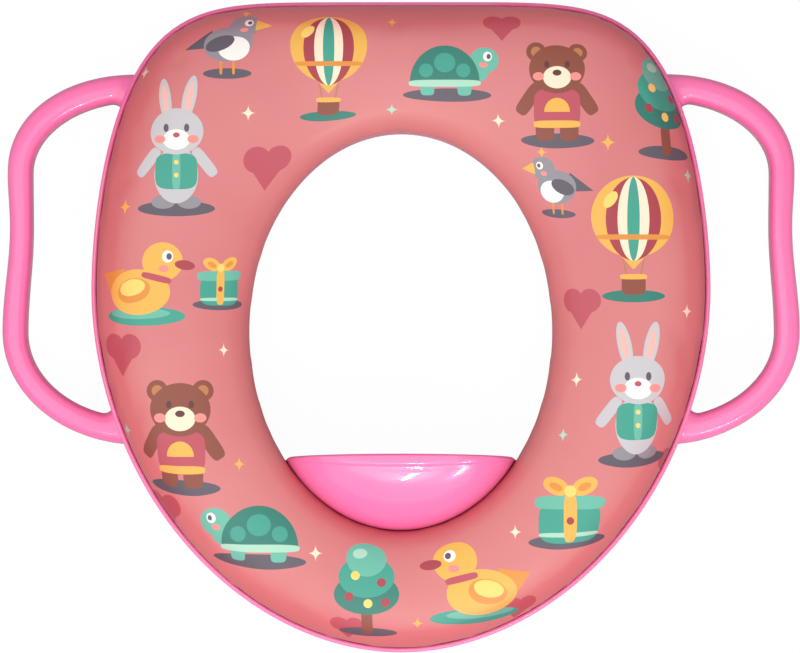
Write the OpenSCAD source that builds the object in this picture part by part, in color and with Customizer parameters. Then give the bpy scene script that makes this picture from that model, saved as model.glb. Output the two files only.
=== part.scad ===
// Padded potty training seat with side handles and a splash guard.
// The frame has +X to the right, +Y to the back and +Z up, with the floor at z = 0.

/* [Seat ring] */
// Width of the seat ring, without the handles
ring_w = 295; // [285:1:305]
// Length of the seat ring, front to back
ring_l = 310; // [296:1:324]
// How far behind the middle the ring is widest
widest_y = 18.5; // [12:0.5:24]
// How square the back of the ring is, where 2 is an oval
back_square = 6; // [4:0.5:7]

/* [Opening] */
// Width of the opening between the cushion's inner edges
opening_w = 144; // [134:1:152]
// Length of the opening between the cushion's inner edges
opening_l = 190; // [178:1:196]
// How far in front of the middle the opening is centred
opening_front = 2.5; // [0:0.5:5]

/* [Base] */
// Thickness of the skirt's wall
skirt_t = 2.6; // [2.2:0.1:3.2]
// Width of the rim around the cushion
rim_w = 2.4; // [2:0.1:3]
// Rise of the rim over the tray's floor
rim_rise = 8; // [6:0.5:10]
// Draw-in of the skirt at its lower edge
skirt_draft = 1.6; // [0.6:0.1:2.4]
// Height of the skirt's lower edge below the tray's floor
skirt_h = 9; // [8:0.5:12]
// Thickness of the tray's floor
floor_t = 2.5; // [2:0.1:3]
// Thickness of the collar that drops into a toilet seat
collar_t = 2.6; // [2.2:0.1:3.2]
// How far the collar is set back under the cushion's inner edge
collar_back = 2; // [1.6:0.1:3]
// How far the collar reaches below the grip pads
collar_drop = 14; // [10:1:20]

/* [Underside] */
// Number of ribs between the collar and the skirt
rib_count = 20; // [12:4:28]
// Thickness of the ribs
rib_t = 1.8; // [1.4:0.1:2.4]
// Depth of the ribs below the tray's floor
rib_depth = 5; // [3:0.5:6]

/* [Handles] */
// Width over both handles
span_w = 380; // [374:1:392]
// Thickness of the grip where it bulges, seen from above
grip_t = 11.9; // [10.5:0.1:13.5]
// Thickness of the grip at its waist
waist_t = 11; // [10:0.1:12.5]
// Draw-in of the waist from the handle's furthest reach
waist_in = 3.4; // [1:0.1:5]
// Draw-in of the upper bulge from the handle's furthest reach
upper_in = 2.2; // [0:0.1:4]
// Height of the handle's section
handle_h = 15; // [13:0.5:16]
// Rise of the grip over the handle's roots
handle_rise = 4; // [0:0.5:8]
// Rear edge of the rear arm
arm_back_y = 121; // [114:0.5:124]
// Front edge of the front arm, in front of the middle
arm_front_y = 56; // [50:0.5:62]
// Thickness of the arms at their roots
arm_t = 12.8; // [11:0.1:15]
// Fillet in the inner corner where an arm meets the ring
root_r = 6.5; // [3:0.5:9]
// Thickness of the walls beside the handle's channel
handle_wall = 2.8; // [2.4:0.1:3.4]
// Depth of the channel in the handle's underside
channel_h = 9.5; // [6:0.5:11]

/* [Splash guard] */
// Rise of the guard over the cushion's crown
guard_rise = 16; // [12:1:26]
// How far the guard's free edge leans back over the opening
guard_lean = 35; // [28:1:40]
// Bow of the free edge, seen from above
guard_bow = 1.2; // [0:0.2:4]
// Thickness of the guard
guard_t = 2.4; // [2:0.1:3]
// Gap between the guard and the cushion's inner edge
guard_clear = 0.5; // [0.4:0.1:1.2]
// Width of the raised lip along the free edge
lip_w = 2.6; // [2:0.1:4]
// Height of the lip over the guard's face
lip_h = 0.5; // [0.3:0.1:0.8]

/* [Cushion] */
// Height of the cushion's crown over the tray's floor
cushion_h = 27; // [24:0.5:34]
// Height of the cushion's widest line over the tray's floor
cushion_waist = 12.5; // [11:0.5:14]
// Draw-in of the cushion's edges where they meet the tray
cushion_tuck = 7.5; // [6:0.5:9]
// Groove between the rim and the cushion
groove_w = 0.8; // [0.6:0.1:1.8]
// How square the cushion's crown is, where 2 is an oval
crown_square = 2.9; // [2.3:0.1:3.4]
// Thickness of the cover
cover_t = 0.8; // [0.6:0.1:1.2]
// Width of the cover's hem under the board
hem_w = 14; // [8:1:18]
// Thickness of the backing board
board_t = 4; // [3:0.5:5]

/* [Fasteners and pads] */
// Diameter of the screws' shanks
screw_d = 3.9; // [3:0.1:4.2]
// Diameter of the screws' heads
head_d = 8; // [7:0.1:9]
// Diameter of the screw bosses
boss_d = 11; // [10:0.5:13]
// Length of the grip pads
pad_l = 36; // [28:1:42]
// Width of the grip pads
pad_w = 12; // [10:0.5:14]
// Thickness of the grip pads
pad_t = 6; // [5:0.5:7]
// How far the grip pads stand below the skirt
pad_proud = 4; // [3:0.5:5]
// Thickness of the walls around the grip pads
pocket_t = 1.8; // [1.4:0.1:2.4]

/* [Hidden] */

// Clearance between pieces that are drawn over or pushed into each other
fit = 0.25;
// Clearance around a screw's shank in the base, and in the board that it bites in
screw_clear = 0.3;
bite_clear = 0.05;
// How far joined walls reach into each other
sink = 1.2;

// Sections around the ring
stations = 80;
// Steps that halve the search for an outline's distance, and the widest distance searched
halvings = 26;
search_r = 400;

// Heights over the floor
pad_z = collar_drop;
skirt_z = pad_z + pad_proud;
tray_z = skirt_z + skirt_h;
rim_z = tray_z + rim_rise;
crown_z = tray_z + cushion_h;
guard_z = crown_z + guard_rise;
hem_z = tray_z + cover_t;
board_z = hem_z + board_t;

// An edge is [half width, back length, front length, centre y, back powers in x and y, front power].
front_power = 1.935;
ring_edge = [ring_w / 2, ring_l / 2 - widest_y, ring_l / 2 + widest_y, widest_y, back_square, 1.8, front_power];
opening_edge = [opening_w / 2, opening_l / 2, opening_l / 2, -opening_front, 2, 2, 2];

function power(v, p) = pow(abs(v), p);
function behind(y, e) = y >= e[3];
function edge_sum(x, y, e) = behind(y, e)
    ? power(x / e[0], e[4]) + power((y - e[3]) / e[1], e[5])
    : power(x / e[0], e[6]) + power((y - e[3]) / e[2], e[6]);
// Distance from the middle to an edge at angle a, found by halving.
function reach(a, e, lo = 0, hi = search_r, n = halvings) = n == 0
    ? (lo + hi) / 2
    : edge_sum((lo + hi) / 2 * cos(a), (lo + hi) / 2 * sin(a), e) > 1
        ? reach(a, e, lo, (lo + hi) / 2, n - 1)
        : reach(a, e, (lo + hi) / 2, hi, n - 1);
function on_edge(a, e) = reach(a, e) * [cos(a), sin(a)];
function unit(v) = v / norm(v);
function slope(v, half, p) = p * sign(v) * power(v / half, p - 1) / half;
// Outward direction of an edge at a point on it.
function edge_out(p, e) = unit(behind(p[1], e)
    ? [slope(p[0], e[0], e[4]), slope(p[1] - e[3], e[1], e[5])]
    : [slope(p[0], e[0], e[6]), slope(p[1] - e[3], e[2], e[6])]);
// Half width of an edge at a given y.
function edge_x(y, e) = behind(y, e)
    ? e[0] * pow(1 - power((y - e[3]) / e[1], e[5]), 1 / e[4])
    : e[0] * pow(1 - power((y - e[3]) / e[2], e[6]), 1 / e[6]);

angles = [for (i = [0:stations - 1]) i * 360 / stations];
outer_p = [for (a = angles) on_edge(a, ring_edge)];
outer_n = [for (p = outer_p) edge_out(p, ring_edge)];
inner_p = [for (a = angles) on_edge(a, opening_edge)];
inner_n = [for (p = inner_p) edge_out(p, opening_edge)];

// A point of station i: u is 0 at the opening and 1 at the ring's edge, in_o and in_i are draw-ins there.
function ring_pt(i, u, in_o, in_i) =
    u * (outer_p[i] - in_o * outer_n[i]) + (1 - u) * (inner_p[i] + in_i * inner_n[i]);

// Solid swept round the ring from a closed profile of [u, draw-in, z], listed clockwise from outside to inside.
module ring_sweep(profile) {
    m = len(profile);
    points = [for (i = [0:stations - 1]) for (q = profile)
        let (p = ring_pt(i, q[0], q[1], q[1])) [p[0], p[1], q[2]]];
    faces = [for (i = [0:stations - 1]) for (k = [0:m - 1])
        let (j = (i + 1) % stations, n = (k + 1) % m)
        [i * m + k, i * m + n, j * m + n, j * m + k]];
    polyhedron(points, faces);
}

// Solid swept along open stations of equal closed loops, with a flat end at each end.
// Looking along the stations from the first to the last, the loops run clockwise.
module loft(loops, ladder = false) {
    m = len(loops[0]);
    last = len(loops) - 1;
    points = [for (loop = loops) for (p = loop) p];
    sides = [for (i = [0:last - 1]) for (k = [0:m - 1]) let (n = (k + 1) % m)
        [i * m + k, i * m + n, (i + 1) * m + n, (i + 1) * m + k]];
    // An end is a fan from the loop's first point, or a ladder where the loop folds back beside itself.
    fan = [for (k = [1:m - 2]) [0, k, k + 1]];
    rungs = [for (k = [0:floor(m / 2) - 1]) k + 1 == m - 2 - k
        ? [k, k + 1, m - 1 - k]
        : [k, k + 1, m - 2 - k, m - 1 - k]];
    end = ladder ? rungs : fan;
    start_faces = [for (f = end) [for (j = [len(f) - 1:-1:0]) f[j]]];
    end_faces = [for (f = end) [for (v = f) last * m + v]];
    polyhedron(points, concat(sides, start_faces, end_faces));
}

// Flat outlines of the ring and of the opening, drawn in by d.
module ring_shape(d) {
    polygon([for (i = [0:stations - 1]) ring_pt(i, 1, d, 0)]);
}
module opening_shape(d) {
    polygon([for (i = [0:stations - 1]) ring_pt(i, 0, 0, d)]);
}

// Tray with its skirt, rounded rim and floor
lip_r = rim_w / 2;
lip_steps = 4;
floor_z = tray_z - floor_t;
// How far the floor reaches over the collar, and the slope of the rim's inner face
floor_over = 0.4;
rim_slope = 0.3;
floor_edge = collar_back - floor_over;
// Chamfers at the rim's foot and under the floor, and along the floor's inner edge
foot_r = 1;
floor_r = 0.6;
tray_profile = concat(
    [[1, skirt_draft, skirt_z]],
    [[1, 0, rim_z - rim_rise / 2]],
    [for (k = [0:lip_steps]) let (a = 180 * k / lip_steps)
        [1, lip_r - lip_r * cos(a), rim_z - lip_r + lip_r * sin(a)]],
    [[1, rim_w + rim_slope, tray_z + foot_r], [1, rim_w + rim_slope + foot_r, tray_z]],
    [[0, floor_edge + floor_r, tray_z], [0, floor_edge, tray_z - floor_r]],
    [[0, floor_edge, floor_z + floor_r], [0, floor_edge + floor_r, floor_z]],
    [[1, skirt_draft + skirt_t + foot_r, floor_z], [1, skirt_draft + skirt_t, floor_z - foot_r]],
    [[1, skirt_draft + skirt_t, skirt_z]]
);

// Places along the ring's middle where screws and pads stand
screw_angles = [22, 90, 158, 205, 270, 335];
pad_angles = [-50, -130, 50, 130];
function mid_pt(a) = (on_edge(a, ring_edge) + on_edge(a, opening_edge)) / 2;
function mid_turn(a) = let (t = mid_pt(a + 1) - mid_pt(a - 1)) atan2(t[1], t[0]);

module ribs() {
    for (k = [0:rib_count - 1]) {
        i = round((k + 0.5) * stations / rib_count) % stations;
        a = ring_pt(i, 0, 0, collar_back + collar_t / 2);
        b = ring_pt(i, 1, skirt_draft + skirt_t / 2, 0);
        turn = atan2(b[1] - a[1], b[0] - a[0]);
        translate([a[0], a[1], floor_z - rib_depth])
            rotate(turn)
            translate([0, -rib_t / 2, 0])
            cube([norm(b - a), rib_t, rib_depth + sink]);
    }
}

// Collar that drops into the toilet seat
module collar() {
    linear_extrude(height = tray_z - sink)
        difference() {
            opening_shape(collar_back + collar_t);
            opening_shape(collar_back);
        }
}

// Round-ended bar shape, centred, of a length and a width
module bar_shape(l, w) {
    square([l - w, w], center = true);
    for (s = [-1, 1]) translate([s * (l - w) / 2, 0]) circle(d = w, $fn = 32);
}

// Pocket wall of a grip pad, with the ribs that the pad seats on
pocket_up = 0.5;
module pad_pocket() {
    pocket_z = skirt_z + pocket_up;
    seat_z = pad_z + pad_t;
    translate([0, 0, pocket_z])
        linear_extrude(height = floor_z - pocket_z + sink)
        difference() {
            bar_shape(pad_l + 2 * (fit + pocket_t), pad_w + 2 * (fit + pocket_t));
            bar_shape(pad_l + 2 * fit, pad_w + 2 * fit);
        }
    rib_h = floor_z - seat_z + sink;
    reach_l = pad_l + 2 * fit + pocket_t;
    reach_w = pad_w + 2 * fit + pocket_t;
    translate([-reach_l / 2, -rib_t / 2, seat_z]) cube([reach_l, rib_t, rib_h]);
    for (s = [-1, 1])
        translate([s * pad_l / 4 - rib_t / 2, -reach_w / 2, seat_z]) cube([rib_t, reach_w, rib_h]);
}

module at_middle(a) {
    p = mid_pt(a);
    translate([p[0], p[1], 0]) rotate(mid_turn(a)) children();
}

// Handle: an outer and an inner curve, each [x at upper bulge, waist and lower bulge, rear y, front y,
// power of the rear bend, power of the front bend]
bend_in = 22;
bend_back_y = 74;
bend_front_y = -2.5;
waist_y = 47;
root_in = skirt_draft + skirt_t / 2;
reach_x = span_w / 2;
outer_side = [reach_x - upper_in, reach_x - waist_in, reach_x, arm_back_y, -arm_front_y, 2.12, 2];
inner_side = [reach_x - upper_in - grip_t, reach_x - waist_in - waist_t, reach_x - grip_t,
              arm_back_y - arm_t, -arm_front_y + arm_t, 2, 2];
bend_x = ring_w / 2 - bend_in;
arc_steps = 13;
grip_steps = 8;
// How much closer the bends' points stand near the roots, where 1 is even
root_crowding = 1.35;

function ease(t) = (1 - cos(180 * t)) / 2;
function mix(a, b, t) = a + (b - a) * t;
// Angle at which an arm's curve starts inside the skirt's wall.
function root_angle(x_far, y) = acos(max(0, min(1, (edge_x(y, ring_edge) - root_in - bend_x) / (x_far - bend_x))));
function bend_pt(a, x_far, y_far, y_bend, n) =
    [bend_x + (x_far - bend_x) * pow(cos(a), 2 / n), y_bend + (y_far - y_bend) * pow(sin(a), 2 / n)];
// Points of one curve from the rear root, round the grip, to the front root.
function handle_curve(s) = concat(
    [for (k = [0:arc_steps]) let (f = pow(k / arc_steps, root_crowding))
        bend_pt(root_angle(s[0], s[3]) * (1 - f), s[0], s[3], bend_back_y, s[5])],
    [for (k = [1:grip_steps - 1]) let (y = mix(bend_back_y, bend_front_y, k / grip_steps))
        [y > waist_y
            ? mix(s[0], s[1], ease((bend_back_y - y) / (bend_back_y - waist_y)))
            : mix(s[1], s[2], ease((waist_y - y) / (waist_y - bend_front_y))), y]],
    [for (k = [0:arc_steps]) let (f = pow((arc_steps - k) / arc_steps, root_crowding))
        bend_pt(root_angle(s[2], s[4]) * (1 - f), s[2], s[4], bend_front_y, s[6])]
);
// Fillet's depth at a distance from the skirt's face.
function fillet(s, r) = s >= r ? 0 : s <= 0 ? r : r - sqrt(r * r - (r - s) * (r - s));
outer_curve = handle_curve(outer_side);
plain_inner = handle_curve(inner_side);
handle_last = len(outer_curve) - 1;
inner_curve = [for (k = [0:handle_last])
    let (back = norm(plain_inner[k] - plain_inner[0]) - root_in,
         front = norm(plain_inner[k] - plain_inner[handle_last]) - root_in)
    plain_inner[k] + [0, fillet(front, root_r) - fillet(back, root_r)]];

// Closed section of the handle for a width w and a channel of depth deep, from the middle of its top.
edge_r = 1.1;
channel_draft = 0.6;
// Power of the section's rounded top, where 1 is an oval
top_power = 0.7;
top_steps = 6;
function handle_arc(w, from, to) = [for (k = [from:to]) let (a = 90 + 180 * k / top_steps)
    [w / 2 * sign(cos(a)) * power(cos(a), top_power), handle_h / 2 * power(sin(a), top_power)]];
function handle_section(w, deep) = let (c = w / 2 - handle_wall, low = -handle_h / 2) concat(
    handle_arc(w, 0, top_steps / 2),
    [[-w / 2, low + edge_r], [-w / 2 + edge_r, low], [-c, low]],
    [[-c + channel_draft, low + deep], [c - channel_draft, low + deep]],
    [[c, low], [w / 2 - edge_r, low], [w / 2, low + edge_r]],
    handle_arc(w, -top_steps / 2, -1)
);
// How far the handle's lower edges stand above the skirt's at the roots
handle_up = 0.4;
handle_root_z = skirt_z + handle_up + handle_h / 2;

// The channel starts at a distance from the roots' ends and deepens over a ramp.
channel_start = 4;
channel_ramp = 10;
function root_mid(k) = (outer_curve[k] + inner_curve[k]) / 2;

module handle() {
    loft([for (k = [handle_last:-1:0])
        let (o = outer_curve[k], i = inner_curve[k], mid = (o + i) / 2, w = norm(o - i), e = (o - i) / w,
             z = handle_root_z + handle_rise * sin(180 * k / handle_last),
             run = min(norm(mid - root_mid(0)), norm(mid - root_mid(handle_last))),
             deep = channel_h * ease(max(0, min(1, (run - channel_start) / channel_ramp))))
        [for (q = handle_section(w, deep)) [mid[0] + e[0] * q[0], mid[1] + e[1] * q[0], z + q[1]]]]);
}
// Above the tray's floor the handle's ends stop in the middle of the rim.
module trimmed_handle() {
    difference() {
        handle();
        translate([0, 0, tray_z]) linear_extrude(height = handle_h) ring_shape(lip_r);
    }
}

// Splash guard: columns rise from the collar at the front of the opening, stand up beside the cushion
// and then curl back to a nearly straight edge with a lip.
guard_steps = 28;
guard_root = collar_back + collar_t * 0.6;
// How far below the tray's floor the guard's foot starts
guard_foot = 4;
guard_root_z = tray_z - guard_foot;
guard_step_h = 6;
guard_curl = 78;
// How long the free edge stays level before it drops to the ends, and how flat the curled part is
guard_level = 6;
guard_flat = 0.75;
// Share of the levels, and of the height, in which a column stands upright
stand_levels = 0.25;
stand_share = 0.28;
lip_level = 1 - lip_w / (guard_lean + guard_rise);
// Levels of a column as [level, rise over the face]
guard_levels = concat(
    [for (f = [0, 0.3, 0.6, 1]) [f * stand_levels, 0]],
    [for (t = [0.2, 0.4, 0.6, 0.8]) [mix(stand_levels, 1, t), 0]],
    [[lip_level - 0.012, 0], [lip_level, lip_h], [1, lip_h]]
);
free_y = -opening_front - opening_l / 2 + guard_lean;
guard_line = [opening_w / 2 - guard_clear, opening_l / 2 - guard_clear, opening_l / 2 - guard_clear,
              -opening_front, 2, 2, 2];
guard_end = asin(edge_x(free_y - guard_bow, guard_line) / guard_line[0]);

function guard_col(s) =
    let (a = guard_end * sin(90 * s),
         p = [guard_line[0] * sin(a), -opening_front - guard_line[2] * cos(a)],
         n = edge_out(p, guard_line),
         x = p[0] / (guard_line[0] * sin(guard_end)),
         lean = max(0, free_y - guard_bow * x * x - p[1]),
         top = mix(tray_z, guard_z - lip_h, sqrt(max(0, 1 - pow(abs(x), guard_level)))))
    [p, n, lean, top];
// Place in a column at level f: [step away from the collar, lean to the back, height].
function guard_place(c, f) =
    let (bend_z = mix(guard_root_z, c[3], stand_share),
         t = guard_curl * max(0, (f - stand_levels) / (1 - stand_levels)),
         z = f < stand_levels
             ? mix(guard_root_z, bend_z, f / stand_levels)
             : mix(bend_z, c[3], pow(sin(t) / sin(guard_curl), guard_flat)),
         g = min(1, (z - guard_root_z) / guard_step_h))
    [(guard_root + guard_clear) * (1 - g) * (1 - g), c[2] * (1 - cos(t)) / (1 - cos(guard_curl)), z];
// Point of a column at level f, off the outer face by d along its normal.
function guard_face(c, f, d) =
    let (h = 0.02, a = guard_place(c, max(0, f - h)), b = guard_place(c, min(1, f + h)), q = guard_place(c, f),
         run = (b[1] - b[0]) - (a[1] - a[0]), rise = b[2] - a[2], k = d / max(0.001, norm([run, rise])))
    [c[0][0] + c[1][0] * (q[0] + k * rise), c[0][1] + c[1][1] * (q[0] + k * rise) + q[1], q[2] + k * run];

module splash_guard() {
    last = len(guard_levels) - 1;
    loft([for (k = [0:guard_steps])
        let (c = guard_col(2 * k / guard_steps - 1),
             outer = [for (q = guard_levels) guard_face(c, q[0], q[1])],
             inner = [for (q = guard_levels) guard_face(c, q[0], -guard_t)],
             tip = (outer[last] + inner[last]) / 2,
             rise = unit(outer[last] - outer[last - 1] + [0, 0, 0.001]))
        concat(outer, [tip + rise * guard_t * 0.4], [for (j = [0:last]) inner[last - j]])],
        ladder = true);
}

// How far the lower faces of the screw bosses stand above the skirt's lower edge
boss_up = 2;
boss_z = skirt_z + boss_up;
// Height of a screw's head
head_h = 2.4;
// How far a cutting shape runs past the faces it cuts
past = 1;
module seat_base() {
    color("#f57fb4")
    difference() {
        union() {
            ring_sweep(tray_profile);
            collar();
            ribs();
            trimmed_handle();
            mirror([1, 0, 0]) trimmed_handle();
            splash_guard();
            for (a = pad_angles) at_middle(a) pad_pocket();
            for (a = screw_angles) at_middle(a)
                translate([0, 0, boss_z]) cylinder(d = boss_d, h = tray_z - sink - boss_z, $fn = 40);
        }
        for (a = screw_angles) at_middle(a)
            translate([0, 0, boss_z - past])
                cylinder(d = screw_d + 2 * screw_clear, h = tray_z - boss_z + 2 * past, $fn = 32);
        // Room for the screws' heads and for the grip pads where ribs cross them
        for (a = screw_angles) at_middle(a)
            translate([0, 0, boss_z - head_h - past])
                cylinder(d = head_d + 2 * screw_clear, h = head_h + past, $fn = 40);
        for (a = pad_angles) at_middle(a)
            translate([0, 0, pad_z]) linear_extrude(height = pad_t) bar_shape(pad_l + 2 * fit, pad_w + 2 * fit);
    }
}

// Cushion: its section is a crown over the widest line and a tucked roll below it
cushion_in = rim_w + groove_w;
crown_steps = 10;
tuck_steps = 3;
// Upper part from the outer to the inner edge, as [u, height over the widest line], drawn in by d.
function crown(d) = [for (k = [0:crown_steps]) let (a = 180 * k / crown_steps)
    [0.5 + 0.5 * sign(cos(a)) * power(cos(a), 2 / crown_square), (cushion_h - cushion_waist - d) * power(sin(a), 0.95)]];
widest_z = tray_z + cushion_waist;
// Draw-in and height of the roll below the widest line at step k, where the roll ends at z = low.
function tuck(k, d, low, draw) = let (a = 90 * k / tuck_steps)
    [d + draw * (1 - cos(a)), widest_z - (widest_z - low) * sin(a)];
// The outer edge's draw-in is cushion_in more than the inner edge's.
function cushion_loop(d, low, draw) = concat(
    [for (k = [0:tuck_steps - 1]) let (q = tuck(tuck_steps - k, d, low, draw)) [1, q[0], q[1]]],
    [for (q = crown(d)) [q[0], d, widest_z + q[1]]],
    [for (k = [1:tuck_steps]) let (q = tuck(k, d, low, draw)) [0, q[0], q[1]]]
);

// Draw-in of the hem's end at station i, which stops short of the screws on the middle line.
function hem_in(i) = min(cushion_tuck + hem_w,
    norm(outer_p[i] - inner_p[i]) / 2 - cushion_in - screw_d / 2 - screw_clear - fit);
// A profile gives the hem's end as "hem" in place of its draw-in.
function drawn(q, i) = q[1] == "hem" ? hem_in(i) : q[1];

module cushion_sweep(profile) {
    m = len(profile);
    points = [for (i = [0:stations - 1]) for (q = profile)
        let (d = drawn(q, i), p = ring_pt(i, q[0], d + cushion_in, d)) [p[0], p[1], q[2]]];
    faces = [for (i = [0:stations - 1]) for (k = [0:m - 1])
        let (j = (i + 1) % stations, n = (k + 1) % m)
        [i * m + k, i * m + n, j * m + n, j * m + k]];
    polyhedron(points, faces);
}

// Vinyl cover drawn over foam and board, with its hems under the board
module cushion_cover() {
    outside = cushion_loop(0, tray_z, cushion_tuck);
    inside = cushion_loop(cover_t, hem_z, cushion_tuck);
    m = len(inside);
    color("#e2797f")
    cushion_sweep(concat(
        [[1, "hem", hem_z], [1, "hem", tray_z]],
        outside,
        [[0, "hem", tray_z], [0, "hem", hem_z]],
        [for (k = [0:m - 1]) inside[m - 1 - k]]
    ));
}

// Foam ring between the cover and the board, whose lower edge takes a share of the roll's draw-in
foam_roll = 0.6;
module cushion_foam() {
    color("#f3e3b4")
    cushion_sweep(cushion_loop(cover_t + fit, board_z, cushion_tuck * foam_roll));
}

// Backing board with pilot holes for the screws
board_in = cover_t + fit + cushion_tuck;
module cushion_board() {
    color("#b98d5d")
    difference() {
        translate([0, 0, hem_z])
            linear_extrude(height = board_t)
            difference() {
                ring_shape(cushion_in + board_in);
                opening_shape(board_in);
            }
        for (a = screw_angles) at_middle(a)
            translate([0, 0, hem_z - past])
                cylinder(d = screw_d + 2 * bite_clear, h = board_t + 2 * past, $fn = 32);
    }
}

// Pan-head screws that hold the cushion down from below
// How far the shanks run into the heads, and stop short of the board's upper face
shank_in = 0.2;
// Hexagonal recess in the head
recess_d = 2.7;
recess_h = 1.4;
module cushion_screws() {
    color("#b9bcc2")
    for (a = screw_angles) at_middle(a) {
        translate([0, 0, boss_z - head_h]) difference() {
            cylinder(d = head_d, h = head_h, $fn = 40);
            translate([0, 0, -past]) cylinder(d = recess_d, h = past + recess_h, $fn = 6);
        }
        translate([0, 0, boss_z - shank_in]) cylinder(d = screw_d, h = board_z - boss_z, $fn = 32);
    }
}

module grip_pad(a) {
    color("#6d6a70")
    at_middle(a) translate([0, 0, pad_z]) linear_extrude(height = pad_t) bar_shape(pad_l, pad_w);
}

seat_base();
cushion_board();
cushion_foam();
cushion_cover();
cushion_screws();
grip_pad(pad_angles[0]);  // grip_pad_front_right
grip_pad(pad_angles[1]);  // grip_pad_front_left
grip_pad(pad_angles[2]);  // grip_pad_rear_right
grip_pad(pad_angles[3]);  // grip_pad_rear_left
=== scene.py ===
"""Looks of the padded potty training seat: glossy moulded base, printed vinyl cushion, rubber grips."""
import math
from functools import lru_cache

import bmesh
import bpy
from mathutils import Matrix, Vector


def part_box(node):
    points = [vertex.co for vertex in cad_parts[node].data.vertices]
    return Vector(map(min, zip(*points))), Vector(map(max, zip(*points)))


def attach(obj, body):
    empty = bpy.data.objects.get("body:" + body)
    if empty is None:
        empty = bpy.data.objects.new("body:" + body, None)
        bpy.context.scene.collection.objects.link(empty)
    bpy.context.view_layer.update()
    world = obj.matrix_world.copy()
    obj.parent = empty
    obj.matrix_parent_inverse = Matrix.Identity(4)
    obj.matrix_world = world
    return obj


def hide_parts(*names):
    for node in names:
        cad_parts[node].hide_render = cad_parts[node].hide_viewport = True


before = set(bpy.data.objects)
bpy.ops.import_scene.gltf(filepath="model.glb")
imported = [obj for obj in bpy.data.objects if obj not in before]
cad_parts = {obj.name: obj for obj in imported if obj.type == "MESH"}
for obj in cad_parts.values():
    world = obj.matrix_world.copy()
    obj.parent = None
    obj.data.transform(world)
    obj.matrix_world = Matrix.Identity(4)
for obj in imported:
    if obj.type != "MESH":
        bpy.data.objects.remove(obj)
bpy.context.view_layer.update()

scene = bpy.context.scene
MM = 0.001

# Sizes in millimetres, from the frame where a node gives them
def span(node):
    """Size of a node's box in millimetres."""
    low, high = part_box(node)
    return (high - low) / MM


base_low, base_high = (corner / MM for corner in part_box("seat_base"))
cover_low, cover_high = (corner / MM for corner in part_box("cushion_cover"))
pad_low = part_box("grip_pad_rear_right")[0] / MM

RIM_W = 2.4
GROOVE_W = 0.8
CUSHION_IN = RIM_W + GROOVE_W
RING_W = span("cushion_cover").x + 2 * CUSHION_IN
RING_L = base_high.y - base_low.y
WIDEST_Y = 18.5
OPENING_W, OPENING_L = 144.0, 190.0
OPENING_FRONT = 2.5
SPAN_W = base_high.x - base_low.x

TRAY_Z = cover_low.z
CROWN_Z = cover_high.z
GUARD_Z = base_high.z
PAD_Z = pad_low.z
PAD_PROUD, RIM_RISE = 4, 8
SKIRT_Z = PAD_Z + PAD_PROUD
RIM_Z = TRAY_Z + RIM_RISE
FLOOR_T = 2.5
SKIRT_T = 2.6
SKIRT_DRAFT = 1.6
COLLAR_T = 2.6
COLLAR_BACK = 2.0

# An edge is half width, back length, front length, centre y, back powers in x and y, front power
RING = (RING_W / 2, RING_L / 2 - WIDEST_Y, RING_L / 2 + WIDEST_Y, WIDEST_Y, 6, 1.8, 1.935)
OPENING = (OPENING_W / 2, OPENING_L / 2, OPENING_L / 2, -OPENING_FRONT, 2, 2, 2)

# Widest distance and number of halvings in the search for an edge, and the step that its slope is taken over
SEARCH_R, HALVINGS = 400.0, 34
SLOPE_STEP = 0.01


def edge_sum(x, y, edge):
    """Under 1 inside an edge and over 1 outside it."""
    half, back, front, mid_y, back_x, back_y, front_p = edge
    if y >= mid_y:
        return abs(x / half) ** back_x + abs((y - mid_y) / back) ** back_y
    return abs(x / half) ** front_p + abs((y - mid_y) / front) ** front_p


def edge_half(y, edge):
    """Half width of an edge at a given y."""
    half, back, front, mid_y, back_x, back_y, front_p = edge
    if y >= mid_y:
        return half * (1 - abs((y - mid_y) / back) ** back_y) ** (1 / back_x)
    return half * (1 - abs((y - mid_y) / front) ** front_p) ** (1 / front_p)


@lru_cache(maxsize=None)
def on_edge(angle, edge):
    """Point of an edge at an angle from the middle, and the direction out of it."""
    low, high = 0.0, SEARCH_R
    for _ in range(HALVINGS):
        mid = (low + high) / 2
        if edge_sum(mid * math.cos(angle), mid * math.sin(angle), edge) > 1:
            high = mid
        else:
            low = mid
    point = Vector((low * math.cos(angle), low * math.sin(angle), 0))
    out = Vector((
        edge_sum(point.x + SLOPE_STEP, point.y, edge) - edge_sum(point.x - SLOPE_STEP, point.y, edge),
        edge_sum(point.x, point.y + SLOPE_STEP, edge) - edge_sum(point.x, point.y - SLOPE_STEP, edge), 0))
    return point, out.normalized()


def ring_point(angle, share, in_outer, in_inner):
    """Point between the opening's edge at share 0 and the ring's edge at share 1, each drawn in."""
    outer, outer_out = on_edge(angle, RING)
    inner, inner_out = on_edge(angle, OPENING)
    return share * (outer - in_outer * outer_out) + (1 - share) * (inner + in_inner * inner_out)


def mix(a, b, t):
    return a + (b - a) * t


def ease(t):
    t = max(0.0, min(1.0, t))
    return (1 - math.cos(math.pi * t)) / 2


def power(value, exponent):
    """Power of a size, with the value's sign kept."""
    return math.copysign(abs(value) ** exponent, value)


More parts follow.
